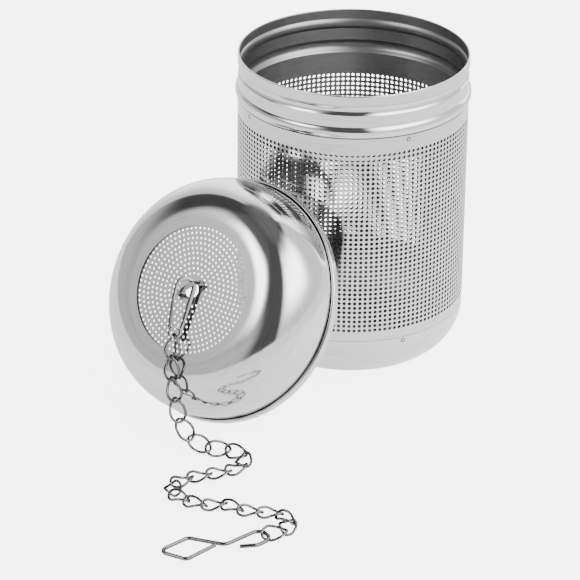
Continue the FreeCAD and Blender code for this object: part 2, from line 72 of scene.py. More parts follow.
# The basket's height and the perforated wall, as the frame has them.
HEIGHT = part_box("collar_ring")[1].z / MM
WALL_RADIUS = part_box("mesh_wall")[1].x / MM
WALL_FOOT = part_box("mesh_wall")[0].z / MM
WALL_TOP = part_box("mesh_wall")[1].z / MM
SHEET = 0.4

# The neck from its rim down: rim band, groove, band, standing bead, and the skirt that
# slips inside the wall.
NECK_RADIUS = 27.5
NECK_SHEET = 0.45
RIM_BAND = 2.4
GROOVE_WIDTH = 2.5
GROOVE_RADIUS = 1.8
BAND_RADIUS = 27.4
NECK_BAND = 2.9
BEAD_WIDTH = 2.8
BEAD_RADIUS = 1.83
BEAD_FOOT = HEIGHT - RIM_BAND - GROOVE_WIDTH - NECK_BAND - BEAD_WIDTH
BEAD_TOP = BEAD_FOOT + BEAD_WIDTH
GROOVE_FOOT = BEAD_TOP + NECK_BAND
GROOVE_TOP = GROOVE_FOOT + GROOVE_WIDTH
SKIRT_LENGTH = 5.9
SLIP_FIT = 0.03
SKIRT_RADIUS = WALL_RADIUS - SHEET - SLIP_FIT

# The cup, and its lip inside the wall.
CUP_HEIGHT = 12.4
CUP_ROUNDING = 12.0
LIP_LENGTH = 2.0

# The wall's holes; the top row's place is taken from the rim.
HOLE_COLUMNS = 140
HOLE_ROWS = 39
HOLE_RADIUS = 0.44
TOP_ROW_DROP = 14.85
FIRST_ROW = HEIGHT - TOP_ROW_DROP
ROW_PITCH = 1.19
CELL_MERGE = 0.01
WALL_SHARES = 4

# Spot welds: the upper row's place below the rim and the lower one's above the base, the
# first weld's angle in degrees, and the ring that each leaves.
WELD_DROP = 11.7
WELD_TURN = -26
WELD_RADIUS = 0.32
WELD_SPREAD = 1.7
WELD_RELIEF = 0.05
CUP_WELD = 11.5

# The lid: its flat top with the window, the shoulder, the flank and the folded hem.
LID_LEAN = math.radians(60)
LID_HEIGHT = 17.7
LINK_ROOM = 0.03
LID_TOP = LID_HEIGHT - LINK_ROOM
WINDOW_RADIUS = 14.95
FLAT_RADIUS = 17.1
SHOULDER_RADIUS = 10.75
SHOULDER_TURN = math.radians(70)
LID_SLACK = 0.25
HEM_REACH = 0.81
CREASE_RADIUS = NECK_RADIUS + LID_SLACK + SHEET
HEM_RADIUS = CREASE_RADIUS + HEM_REACH
HEM_HEIGHT = 2.0
FOLD_ROUND = 0.42
FOLD_GAP = 0.2
FOLD_LIP = 0.08
FOLD_DEPTH = 1.1
HEM_EDGE_ROUND = 0.3
# Faces this near the fold and this far below its lip are its inside, painted near black as
# shade; the rim that the lid stands on, up to RIM_FLAT, stays bright.
FOLD_NEAR = 0.05
FOLD_BELOW = 0.1
RIM_FLAT = 0.1

# The disc under the window, its rings of holes and the plain hole in its middle.
DISC_GAUGE = 0.3
DISC_OVERLAP = 1.65
DISC_HOLE = 0.275
DISC_PITCH = 1.18
FIRST_RING = 3.9
HUB_HOLE = 1.85

# ------------------------------------------------------------------ the lid's own frame


def lid_frame():
    """Turns and moves the lid from standing on its rim at the origin to where it leans:
    the hem's lowest point on the floor, its box centred where the CAD lid's box is."""
    low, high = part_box("lid_dome")
    roll = HEM_RADIUS - HEM_EDGE_ROUND
    height = (roll * math.sin(LID_LEAN) - HEM_EDGE_ROUND * math.cos(LID_LEAN)
              + HEM_EDGE_ROUND)
    back = high.y / MM - HEM_EDGE_ROUND
    depth = back - roll * math.cos(LID_LEAN) + HEM_EDGE_ROUND * math.sin(LID_LEAN)
    side = (low.x + high.x) / 2 / MM
    return Matrix.Translation((side, depth, height)) @ Matrix.Rotation(LID_LEAN, 4, "X")


LID = lid_frame()

# The strap, a staple seen from its side.
STRAP_RISE = 2.25
STRAP_GAUGE = 0.5
STRAP_WIDTH = 1.0
STRAP_TOP = 2.6
STRAP_SLOPE = 0.35
STRAP_FOOT = 0.6
STRAP_EDGE = 0.12
STRAP_TURN = math.radians(45)

# The clasp, about the middle of its crown, and the gate that springs against its nose.
CLASP_LEAN = math.radians(3.5)
CLASP_SWING = math.radians(3)
CLASP_PLATE = 0.6
CLASP_EDGE = 0.24
# A face that leans this far from the plate's faces gets the dark edge metal: a painted
# shade outline round the plate.
SHADED_EDGE_FROM = 0.97
CROWN_RADIUS = 2.5
CROWN_APEX = 1.7
CROWN_SLACK = 0.15
LEG_INSIDE = 1.7
LONG_INSIDE = 1.4
NOSE_DROP = 3.3
EYE_DISTANCE = 10.6
EYE_OUTER = 1.6
EYE_INNER = 0.95
HEEL_INSIDE = 0.95
GATE_PIVOT = (1.55, 9.35)
GATE_ROOT = 0.36
GATE_GAP = 0.15
GATE_OUTSIDE = 2.4
GATE_GAUGE = 0.45
GATE_WIDTH = 0.7
GATE_EDGE = 0.16


def clasp_frame():
    """Where the clasp hangs: X across its loop, Y down towards its eye, Z out of its
    plate, and the middle of its crown at the origin."""
    normal = Vector((math.sin(STRAP_TURN), 0, math.cos(STRAP_TURN)))
    down = Vector((math.sin(CLASP_SWING), -math.cos(CLASP_SWING), -math.tan(CLASP_LEAN)))
    down = (down - normal * down.dot(normal)).normalized()
    middle = Vector((0, 0, LID_HEIGHT + STRAP_RISE)) - down * CROWN_SLACK
    turn = Matrix((down.cross(normal), down, normal)).transposed()
    return LID @ Matrix.Translation(middle) @ turn.to_4x4()


CLASP = clasp_frame()

# ------------------------------------------------------------------ mesh helpers

# A straight run longer than LONG_RUN gets a point END_STEP from each of its ends.
LONG_RUN = 1.0
END_STEP = 0.12
# A face looks inwards when its normal leans in by more than this.
LEANS_IN = 0.2
# A face belongs to a hole's edge when its normal leans out by less than this.
LEANS_OUT = 0.5
MERGE = 1e-5
PLATE_MERGE = 1e-4
SLIVER = 1e-6
# An edge that turns more than this stays sharp on sheet, on plate and on wire.
SHEET_CORNER = math.radians(32)
PLATE_CORNER = math.radians(50)
WIRE_CORNER = math.radians(35)
# An edge of a plate that turns more than this is rolled.
ROLLED_CORNER = math.radians(60)


def arc_points(start, end, radius, count):
    """Points between start and end on a short arc; a positive radius bows it to the
    right of the way from start to end."""
    start = Vector(start)
    end = Vector(end)
    chord = end - start
    left = Vector((-chord.y, chord.x)).normalized()
    rise = math.sqrt(max(radius ** 2 - (chord.length / 2) ** 2, 0))
    centre = (start + end) / 2 + left * math.copysign(rise, radius)
    first = start - centre
    turn = first.angle_signed(end - centre)
    points = []
    for index in range(1, count):
        spin = Matrix.Rotation(-turn * index / count, 2)
        points.append(centre + spin @ first)
    return points


def outline(corners):
    """A closed line through corners (across, up) or (across, up, bow, count), where the
    bow is the radius of the arc to the next corner. Long straight runs get a point close
    to each end, which keeps the shading flat along them."""
    line = []
    for index, corner in enumerate(corners):
        start = Vector(corner[:2])
        end = Vector(corners[(index + 1) % len(corners)][:2])
        line.append(start)
        if len(corner) > 2:
            line += arc_points(start, end, corner[2], corner[3])
        elif (end - start).length > LONG_RUN:
            step = (end - start).normalized() * END_STEP
            line += [start + step, end - step]
    return line


def finish_piece(name, mesh, body, slot, *nodes, place=None, sharp=SHEET_CORNER):
    """Names a mesh given in millimetres, puts it in place and lets it ride on its
    body."""
    if place is not None:
        mesh.transform(place)
    mesh.transform(Matrix.Scale(MM, 4))
    mesh.shade_smooth()
    mesh.set_sharp_from_angle(angle=sharp)
    piece = bpy.data.objects.new(name, mesh)
    bpy.context.scene.collection.objects.link(piece)
    if nodes:
        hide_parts(*nodes)
    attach(piece, body)
    return piece


def line_inside(mesh, inside, floor=0.0):
    """Gives the faces that look at the piece's own axis, or up from below the floor's
    edge, their inside finish: duller, and darker as painted shade. The mesh still stands
    upright on its axis."""
    mesh.materials.append(inside)
    for face in mesh.polygons:
        middle = face.center
        inward = face.normal.x * middle.x + face.normal.y * middle.y
        on_floor = middle.z < floor and face.normal.z > LEANS_IN
        if on_floor or inward < -LEANS_IN * middle.xy.length:
            face.material_index = 1


def line_holes(mesh):
    """The cut edges of the sheet, all round each hole, are painted dark as the shade
    inside the holes. It follows line_inside, so theirs is the mesh's third material."""
    mesh.materials.append(CUT_EDGE_SHADE)
    for face in mesh.polygons:
        middle = face.center
        across = face.normal.x * middle.x + face.normal.y * middle.y
        if abs(across) < LEANS_OUT * middle.xy.length:
            face.material_index = 2


def new_verts(made):
    """The points among what an operator made."""
    return [item for item in made["geom"] if isinstance(item, bmesh.types.BMVert)]


def circle_edges(circle):
    """The edges of a circle that an operator made."""
    return list({edge for vert in circle["verts"] for edge in vert.link_edges})


def mesh_from(bm, name):
    """Turns an edited mesh into mesh data and lets the edited one go."""
    mesh = bpy.data.meshes.new(name)
    bm.to_mesh(mesh)
    bm.free()
    return mesh


def spun_mesh(name, corners, steps=SPIN_STEPS):
    """A turned piece: its closed section (radius, height) spun once about Z."""
    bm = bmesh.new()
    ring = [bm.verts.new((point.x, 0, point.y)) for point in outline(corners)]
    edges = [bm.edges.new((ring[index - 1], ring[index])) for index in range(len(ring))]
    bmesh.ops.spin(bm, geom=ring + edges, cent=(0, 0, 0), axis=(0, 0, 1),
                   angle=math.tau, steps=steps, use_merge=True, use_duplicate=False)
    bmesh.ops.remove_doubles(bm, verts=bm.verts, dist=MERGE)
    bmesh.ops.dissolve_degenerate(bm, edges=bm.edges, dist=SLIVER)
    bmesh.ops.recalc_face_normals(bm, faces=bm.faces)
    return mesh_from(bm, name)


def plate_from_outlines(bm, thickness):
    """Fills between the closed lines of a flat drawing and raises it to a plate."""
    bmesh.ops.triangle_fill(bm, edges=bm.edges[:], use_beauty=True, use_dissolve=False)
    grown = bmesh.ops.extrude_face_region(bm, geom=bm.faces[:])
    bmesh.ops.translate(bm, verts=new_verts(grown), vec=(0, 0, thickness))
    bmesh.ops.recalc_face_normals(bm, faces=bm.faces)


# ------------------------------------------------------------------ materials

# Marks of the polishing wheel: how far they stretch round the piece, then how many waves
# they have to the metre across it.
RING_MARKS = (0.0012, 2600)
SWEEP_MARKS = (0.003, 420)
SMUDGE_WAVES = 90
SPECK_WAVES = 260
SPECK_PATCHES = 130
STREAK_WAVES = 900
PIT_WAVES = 2400
# Where each mark's noise fades in.
RING_STEP = (0.5, 0.8)
SMUDGE_STEP = (0.42, 0.72)
SPECK_STEP = (0.09, 0.03)
PATCH_STEP = (0.60, 0.66)
STREAK_STEP = (0.45, 0.75)
PIT_STEP = (0.62, 0.7)
FOLD_STEP = (0.55, 0.1)
# The rim step fades in a painted dark reflection where a face turns away from the viewer.
PAINTED_RIM_STEP = (0.3, 0.75)
# How dark each mark is at its darkest.
RING_DARK = 0.25
SPECK_DARK = 0.8
STREAK_DARK = 0.5
PIT_DARK = 0.7
SMUDGE_DARK = 0.3
# Depth, in metres, of the folds that get painted shade: the base colour darkens where a
# piece's own folds hide it.
SHEET_FOLD = 0.0007
WIRE_FOLD = 0.0006
# Metres of relief.
SHEET_RELIEF = 0.000006
PUNCHED_RELIEF = 0.000004
DULL_RELIEF = 0.000001
WIRE_RELIEF = 0.00001
TURNED_BUMP = 0.5
DRAWN_BUMP = 0.4
# How far, in metres, a strip's corners look rounded.
STRIP_ROUND = 0.00016
RAY_SAMPLES = 6


def math_node(tree, kind, first, second=None):
    """A Math node fed by sockets or plain numbers; gives back its output."""
    node = tree.nodes.new("ShaderNodeMath")
    node.operation = kind
    for socket, feed in zip(node.inputs, (first, second)):
        if isinstance(feed, (int, float)):
            socket.default_value = feed
        elif feed is not None:
            tree.links.new(feed, socket)
    return node.outputs[0]


def ramp(tree, feed, start, end, low=0.0, high=1.0):
    """A smooth step from low at start to high at end."""
    node = tree.nodes.new("ShaderNodeMapRange")
    node.interpolation_type = "SMOOTHSTEP"
    tree.links.new(feed, node.inputs["Value"])
    for socket, number in zip(node.inputs[1:5], (start, end, low, high)):
        socket.default_value = number
    return node.outputs["Result"]


def noise(tree, vector, scale, detail, roughness=0.5):
    """Noise between 0 and 1 on a vector, with so many waves to the metre."""
    node = tree.nodes.new("ShaderNodeTexNoise")
    node.inputs["Scale"].default_value = scale
    node.inputs["Detail"].default_value = detail
    node.inputs["Roughness"].default_value = roughness
    tree.links.new(vector, node.inputs["Vector"])
    return node.outputs["Fac"]


def effect(name, outputs):
    """An empty node group that takes a place on the piece and gives masks."""
    tree = bpy.data.node_groups.new(name, "ShaderNodeTree")
    tree.interface.new_socket("Place", in_out="INPUT", socket_type="NodeSocketVector")
    for output in outputs:
        tree.interface.new_socket(output, in_out="OUTPUT", socket_type="NodeSocketFloat")
    start = tree.nodes.new("NodeGroupInput").outputs["Place"]
    return tree, start, tree.nodes.new("NodeGroupOutput").inputs


def turned_marks():
    """Fine rings that a polishing wheel leaves on a piece that turns about Z: lines that
    are short across the sheet and very long round it."""
    tree, place, outputs = effect("turned_marks", ["Rings", "Sweeps"])
    axes = tree.nodes.new("ShaderNodeSeparateXYZ")
    tree.links.new(place, axes.inputs[0])
    across = math_node(tree, "MULTIPLY", axes.outputs["X"], axes.outputs["X"])
    deep = math_node(tree, "MULTIPLY", axes.outputs["Y"], axes.outputs["Y"])
    radius = math_node(tree, "SQRT", math_node(tree, "ADD", across, deep))
    angle = math_node(tree, "ARCTAN2", axes.outputs["Y"], axes.outputs["X"])
    for output, (stretch, scale) in (("Rings", RING_MARKS), ("Sweeps", SWEEP_MARKS)):
        wound = tree.nodes.new("ShaderNodeCombineXYZ")
        tree.links.new(radius, wound.inputs["X"])
        tree.links.new(math_node(tree, "MULTIPLY", angle, stretch), wound.inputs["Y"])
        tree.links.new(axes.outputs["Z"], wound.inputs["Z"])
        tree.links.new(noise(tree, wound.outputs[0], scale, 3), outputs[output])
    return tree


def handling():
    """What use leaves on bright metal: soft smudges and a few tiny specks."""
    tree, place, outputs = effect("handling", ["Smudge", "Speck"])
    soft = noise(tree, place, SMUDGE_WAVES, 4, 0.6)
    tree.links.new(ramp(tree, soft, *SMUDGE_STEP), outputs["Smudge"])
    cells = tree.nodes.new("ShaderNodeTexVoronoi")
    cells.inputs["Scale"].default_value = SPECK_WAVES
    cells.inputs["Randomness"].default_value = 1.0
    tree.links.new(place, cells.inputs["Vector"])
    near = ramp(tree, cells.outputs["Distance"], *SPECK_STEP)
    few = ramp(tree, noise(tree, place, SPECK_PATCHES, 2), *PATCH_STEP)
    tree.links.new(math_node(tree, "MULTIPLY", near, few), outputs["Speck"])
    return tree


def drawn_marks():
    """Uneven shine of drawn wire and stamped strip: short streaks and small pits."""
    tree, place, outputs = effect("drawn_marks", ["Streaks", "Pits"])
    tree.links.new(noise(tree, place, STREAK_WAVES, 4, 0.6), outputs["Streaks"])
    pits = ramp(tree, noise(tree, place, PIT_WAVES, 2), *PIT_STEP)
    tree.links.new(pits, outputs["Pits"])
    return tree


MARKS = {"turned": turned_marks(), "handling": handling(), "drawn": drawn_marks()}


def placed(tree, kind, place):
    """Sets one of the groups of marks into a material; gives back its outputs."""
    node = tree.nodes.new("ShaderNodeGroup")
    node.node_tree = MARKS[kind]
    tree.links.new(place, node.inputs["Place"])
    return node.outputs


def own_place(tree, axis_place=None):
    """Place on the piece; for the leaning lid it is turned back to the lid's own axis."""
    coord = tree.nodes.new("ShaderNodeTexCoord").outputs["Object"]
    if axis_place is None:
        return coord
    node = tree.nodes.new("ShaderNodeMapping")
    back = axis_place.inverted()
    node.inputs["Location"].default_value = back.to_translation() * MM
    node.inputs["Rotation"].default_value = back.to_euler()
    tree.links.new(coord, node.inputs["Vector"])
    return node.outputs["Vector"]


def mixed_colour(tree, mask, light, dark):
    """Goes from the light colour to the dark one as the mask rises."""
    node = tree.nodes.new("ShaderNodeMix")
    node.data_type = "RGBA"
    node.inputs["A"].default_value = (*light, 1)
    node.inputs["B"].default_value = (*dark, 1)
    tree.links.new(mask, node.inputs["Factor"])
    return node.outputs["Result"]


def crevice_shade(tree, distance):
    """How deep a place lies in a fold of its own piece, 1 deep inside and 0 in the open: a
    mask for painted shade in the folds.
    """
    node = tree.nodes.new("ShaderNodeAmbientOcclusion")
    node.only_local = True
    node.samples = RAY_SAMPLES
    node.inputs["Distance"].default_value = distance
    return ramp(tree, node.outputs["AO"], *FOLD_STEP)


def relief(tree, shader, height, depth, strength, edge=0.0):
    """Bumps from a height mask; an edge above zero also rounds the piece's corners."""
    bump = tree.nodes.new("ShaderNodeBump")
    if edge:
        rounded = tree.nodes.new("ShaderNodeBevel")
        rounded.samples = RAY_SAMPLES
        rounded.inputs["Radius"].default_value = edge
        tree.links.new(rounded.outputs["Normal"], bump.inputs["Normal"])
    bump.inputs["Distance"].default_value = depth
    bump.inputs["Strength"].default_value = strength
    tree.links.new(height, bump.inputs["Height"])
    tree.links.new(bump.outputs["Normal"], shader.inputs["Normal"])


def new_material(name):
    """A bare metal; gives back the material, its nodes and its shader."""
    material = bpy.data.materials.new(name)
    material.use_nodes = True
    shader = material.node_tree.nodes["Principled BSDF"]
    shader.inputs["Metallic"].default_value = 1.0
    return material, material.node_tree, shader


def turned_steel(name, light, dark, roughness, spread, depth, axis_place=None):
    """Sheet steel polished on a wheel: rings and sweeps in its shine, smudges, specks.
    The spread is how far its roughness strays, the depth how high its rings stand."""
    material, tree, shader = new_material(name)
    place = own_place(tree, axis_place)
    turned = placed(tree, "turned", place)
    used = placed(tree, "handling", place)
    dull = math_node(tree, "MULTIPLY", turned["Sweeps"], spread)
    smudges = math_node(tree, "MULTIPLY", used["Smudge"], spread / 3)
    dull = math_node(tree, "ADD", dull, smudges)
    tree.links.new(
        math_node(tree, "ADD", dull, roughness - spread / 2), shader.inputs["Roughness"])
    rings = ramp(tree, turned["Rings"], *RING_STEP)
    mask = math_node(tree, "MULTIPLY", rings, RING_DARK)
    specks = math_node(tree, "MULTIPLY", used["Speck"], SPECK_DARK)
    mask = math_node(tree, "MAXIMUM", mask, specks)
    # Painted shade: the base colour darkens in the piece's own folds.
    mask = math_node(tree, "MAXIMUM", mask, crevice_shade(tree, SHEET_FOLD))
    tree.links.new(mixed_colour(tree, mask, light, dark), shader.inputs["Base Color"])
    relief(tree, shader, turned["Rings"], depth, TURNED_BUMP)
    return material


def drawn_steel(name, light, dark, roughness, spread, depth, edge=0.0, rim=0.9):
    """Bright wire or strip: streaks in its shine, pits, painted shade in its folds, and a
    rim of painted dark reflection where it turns away."""
    material, tree, shader = new_material(name)
    # Specular tint set to the dark colour: painted dark reflection at grazing angles.
    shader.inputs["Specular Tint"].default_value = (*dark, 1)
    place = own_place(tree)
    drawn = placed(tree, "drawn", place)
    used = placed(tree, "handling", place)
    dull = math_node(tree, "MULTIPLY", drawn["Streaks"], spread)
    tree.links.new(
        math_node(tree, "ADD", dull, roughness - spread / 2), shader.inputs["Roughness"])
    streaks = ramp(tree, drawn["Streaks"], *STREAK_STEP)
    mask = math_node(tree, "MULTIPLY", streaks, STREAK_DARK)
    for mark, darkness in ((drawn["Pits"], PIT_DARK), (used["Smudge"], SMUDGE_DARK)):
        mask = math_node(
            tree, "MAXIMUM", mask, math_node(tree, "MULTIPLY", mark, darkness))
    # Painted dark reflection: the base colour darkens where the face turns away from the
    # viewer.
    facing = tree.nodes.new("ShaderNodeLayerWeight").outputs["Facing"]
    mask = math_node(tree, "MAXIMUM", mask, ramp(tree, facing, *PAINTED_RIM_STEP, 0.0, rim))
    # Painted shade: the base colour darkens in the piece's own folds.
    mask = math_node(tree, "MAXIMUM", mask, crevice_shade(tree, WIRE_FOLD))
    tree.links.new(mixed_colour(tree, mask, light, dark), shader.inputs["Base Color"])
    relief(tree, shader, drawn["Streaks"], depth, DRAWN_BUMP, edge)
    return material


BRIGHT = (0.62, 0.62, 0.625)
SOOT = (0.06, 0.06, 0.062)
INK = (0.03, 0.03, 0.03)

MIRROR = turned_steel("polished_steel", BRIGHT, SOOT, 0.09, 0.06, SHEET_RELIEF)
LID_MIRROR = turned_steel(
    "polished_lid_steel", BRIGHT, SOOT, 0.09, 0.06, SHEET_RELIEF, LID)
PUNCHED = turned_steel(
    "punched_steel", (0.58, 0.58, 0.585), SOOT, 0.12, 0.06, PUNCHED_RELIEF)
LID_PUNCHED = turned_steel(
    "punched_lid_steel", (0.6, 0.6, 0.605), SOOT, 0.1, 0.06, PUNCHED_RELIEF, LID)
# The insides: duller steel, and darker as painted shade.
SHADED_INSIDE = turned_steel("dull_shaded_inside", (0.27, 0.27, 0.275), SOOT, 0.34, 0.06, DULL_RELIEF)
LID_SHADED_INSIDE = turned_steel(
    "dull_shaded_lid_inside", (0.2, 0.2, 0.205), SOOT, 0.25, 0.06, DULL_RELIEF, LID)
STRIP = drawn_steel(
    "stamped_strip", (0.5, 0.5, 0.505), SOOT, 0.12, 0.1, WIRE_RELIEF, STRIP_ROUND, 0.25)
# Near black: the sheared edges, darkened as painted shade to outline the clasp.
SHEARED_EDGE_SHADE = drawn_steel("sheared_edge_shade", (0.07, 0.07, 0.072), INK, 0.3, 0.2, WIRE_RELIEF)
SPRING = drawn_steel("spring_strip", (0.2, 0.2, 0.203), SOOT, 0.16, 0.1, WIRE_RELIEF)
WIRE = drawn_steel("bright_wire", (0.17, 0.17, 0.173), SOOT, 0.13, 0.1, WIRE_RELIEF)
# Painted shade for the hole walls of the perforated sheet.
CUT_EDGE_SHADE = drawn_steel("cut_edge_shade", (0.12, 0.12, 0.12), INK, 0.35, 0.2, WIRE_RELIEF)
# Near black: the weld marks' own colour, and painted shade inside the lid's hem fold.
SEAM_AND_FOLD_SHADE = drawn_steel("dark_seam_and_fold_shade", INK, (0.01, 0.01, 0.01), 0.4, 0.2, WIRE_RELIEF)

# ------------------------------------------------------------------ basket


def collar():
    """The neck: rim, groove, band and bead, and the skirt that goes inside the wall."""
    band_in = BAND_RADIUS - NECK_SHEET
    neck_in = NECK_RADIUS - NECK_SHEET
    skirt_in = SKIRT_RADIUS - NECK_SHEET
    spring = HEIGHT - NECK_SHEET / 2
    mesh = spun_mesh("collar", [
        (SKIRT_RADIUS, BEAD_FOOT - SKIRT_LENGTH),
        (SKIRT_RADIUS, BEAD_FOOT),
        (BAND_RADIUS, BEAD_FOOT, BEAD_RADIUS, 14),
        (BAND_RADIUS, BEAD_TOP),
        (BAND_RADIUS, GROOVE_FOOT, -GROOVE_RADIUS, 12),
        (NECK_RADIUS, GROOVE_TOP),
        (NECK_RADIUS, spring, NECK_SHEET / 2, 3),
        (NECK_RADIUS - NECK_SHEET / 2, HEIGHT, NECK_SHEET / 2, 3),
        (neck_in, spring),
        (neck_in, GROOVE_TOP, GROOVE_RADIUS, 12),
        (band_in, GROOVE_FOOT),
        (band_in, BEAD_TOP, -BEAD_RADIUS, 14),
        (band_in, BEAD_FOOT),
        (skirt_in, BEAD_FOOT - NECK_SHEET),
        (skirt_in, BEAD_FOOT - SKIRT_LENGTH),
    ])
    mesh.materials.append(MIRROR)
    line_inside(mesh, SHADED_INSIDE)
    finish_piece("collar", mesh, "basket", "polished_sheet", "collar_ring")


def cup():
    """The drawn cup with its flat base, rounded foot and the lip inside the wall."""
    lip_in = SKIRT_RADIUS - SHEET
    foot = WALL_RADIUS - CUP_ROUNDING
    mesh = spun_mesh("cup", [
        (0.0, 0.0),
        (foot, 0.0, CUP_ROUNDING, 24),
        (WALL_RADIUS, CUP_ROUNDING),
        (WALL_RADIUS, CUP_HEIGHT),
        (SKIRT_RADIUS, CUP_HEIGHT),
        (SKIRT_RADIUS, CUP_HEIGHT + LIP_LENGTH),
        (lip_in, CUP_HEIGHT + LIP_LENGTH),
        (lip_in, CUP_HEIGHT),
        (WALL_RADIUS - SHEET, CUP_ROUNDING, -(CUP_ROUNDING - SHEET), 24),
        (foot, SHEET),
        (0.0, SHEET),
    ])
    mesh.materials.append(MIRROR)
    line_inside(mesh, SHADED_INSIDE, CUP_ROUNDING)
    finish_piece("cup", mesh, "basket", "polished_sheet", "bottom_cup")


def hole_cell(bm, width, height):
    """One cell of the perforated sheet, flat in XZ round the origin: an octagonal hole
    whose rim is drawn out to the cell's border."""
    ring = bmesh.ops.create_circle(
        bm, segments=HOLE_STEPS, radius=HOLE_RADIUS, cap_ends=False)
    edges = circle_edges(ring)
    upright = Matrix.Rotation(math.pi / 2, 3, "X")
    bmesh.ops.rotate(bm, verts=ring["verts"], matrix=upright)
    grown = bmesh.ops.extrude_edge_only(bm, edges=edges)
    for vert in new_verts(grown):
        reach = max(abs(vert.co.x), abs(vert.co.z))
        vert.co.x = round(vert.co.x / reach, 3) * width / 2
        vert.co.z = round(vert.co.z / reach, 3) * height / 2


def repeat(bm, count, step):
    """Copies everything in the mesh so that it stands count times in a row."""
    unit = list(bm.verts) + list(bm.edges) + list(bm.faces)
    for index in range(1, count):
        copied = bmesh.ops.duplicate(bm, geom=unit)
        bmesh.ops.translate(bm, verts=new_verts(copied), vec=step * index)


def perforated_wall(part, columns):
    """A share of the perforated tube: cells in rows and columns, plain margins above and
    below, bent round to the wall's radius and given its thickness."""
    width = math.tau * WALL_RADIUS / HOLE_COLUMNS
    bm = bmesh.new()
    hole_cell(bm, width, ROW_PITCH)
    repeat(bm, HOLE_ROWS, Vector((0, 0, -ROW_PITCH)))
    repeat(bm, columns, Vector((width, 0, 0)))
    bmesh.ops.remove_doubles(bm, verts=bm.verts, dist=CELL_MERGE)
    bmesh.ops.translate(bm, verts=bm.verts, vec=(0, 0, FIRST_ROW))
    top = FIRST_ROW + ROW_PITCH / 2
    foot = FIRST_ROW - ROW_PITCH * (HOLE_ROWS - 0.5)
    for level, target in ((top, WALL_TOP), (foot, WALL_FOOT)):
        border = [edge for edge in bm.edges
                  if all(abs(vert.co.z - level) < CELL_MERGE for vert in edge.verts)]
        grown = bmesh.ops.extrude_edge_only(bm, edges=border)
        for vert in new_verts(grown):
            vert.co.z = target
    start = part * columns * width
    for vert in bm.verts:
        angle = (start + vert.co.x) / WALL_RADIUS
        vert.co.x = WALL_RADIUS * math.cos(angle)
        vert.co.y = WALL_RADIUS * math.sin(angle)
    for face in bm.faces:
        face.normal_update()
        middle = face.calc_center_median()
        if face.normal.dot(Vector((middle.x, middle.y, 0))) < 0:
            face.normal_flip()
    bmesh.ops.solidify(bm, geom=bm.faces[:], thickness=SHEET)
    return mesh_from(bm, f"wall_{part}")


def wall():
    """The perforated tube, in four shares that meet edge to edge."""
    for part in range(WALL_SHARES):
        mesh = perforated_wall(part, HOLE_COLUMNS // WALL_SHARES)
        mesh.materials.append(PUNCHED)
        line_inside(mesh, SHADED_INSIDE)
        line_holes(mesh)
        finish_piece(f"wall_{part + 1}", mesh, "basket", "perforated_sheet", "mesh_wall")


def weld_marks():
    """Small rings where the sheets are spot-welded: four below the bead and four on the
    cup."""
    for row, level in enumerate((HEIGHT - WELD_DROP, CUP_WELD)):
        bm = bmesh.new()
        for quarter in range(4):
            angle = math.radians(WELD_TURN + 90 * quarter)
            turn = Matrix.Rotation(angle, 4, "Z") @ Matrix.Rotation(math.pi / 2, 4, "Y")
            spot = (WALL_RADIUS * math.cos(angle), WALL_RADIUS * math.sin(angle), level)
            place = Matrix.Translation(spot) @ turn
            ring = bmesh.ops.create_circle(
                bm, segments=WELD_STEPS, radius=WELD_RADIUS, cap_ends=False, matrix=place)
            grown = bmesh.ops.extrude_edge_only(bm, edges=circle_edges(ring))
            bmesh.ops.scale(
                bm, verts=new_verts(grown), vec=Vector((1, 1, 1)) * WELD_SPREAD,
                space=Matrix.Translation(-place.to_translation()))
        bmesh.ops.recalc_face_normals(bm, faces=bm.faces)
        bmesh.ops.solidify(bm, geom=bm.faces[:], thickness=WELD_RELIEF)
        mesh = mesh_from(bm, f"weld_marks_{row + 1}")
        mesh.materials.append(SEAM_AND_FOLD_SHADE)
        finish_piece(mesh.name, mesh, "basket", "polished_sheet")


# ------------------------------------------------------------------ lid


def line_lid(mesh):
    """Inside finish for the lid's hollow side, duller and darker as painted shade, and
    painted shade, near black, inside the hem's fold.
    """
    mesh.materials.append(LID_SHADED_INSIDE)
    mesh.materials.append(SEAM_AND_FOLD_SHADE)
    for face in mesh.polygons:
        middle = face.center
        out = face.normal.x * middle.x + face.normal.y * middle.y
        out = out / middle.xy.length + face.normal.z
        beside = -FOLD_NEAR < middle.xy.length - CREASE_RADIUS < FOLD_GAP + FOLD_NEAR
        below = HEM_HEIGHT - FOLD_BELOW - middle.z
        # Painted shade: the fold's inside gets the near-black seam material.
        if beside and 0 < below < FOLD_DEPTH:
            face.material_index = 2
        elif out < -LEANS_IN and middle.z > RIM_FLAT:
            face.material_index = 1


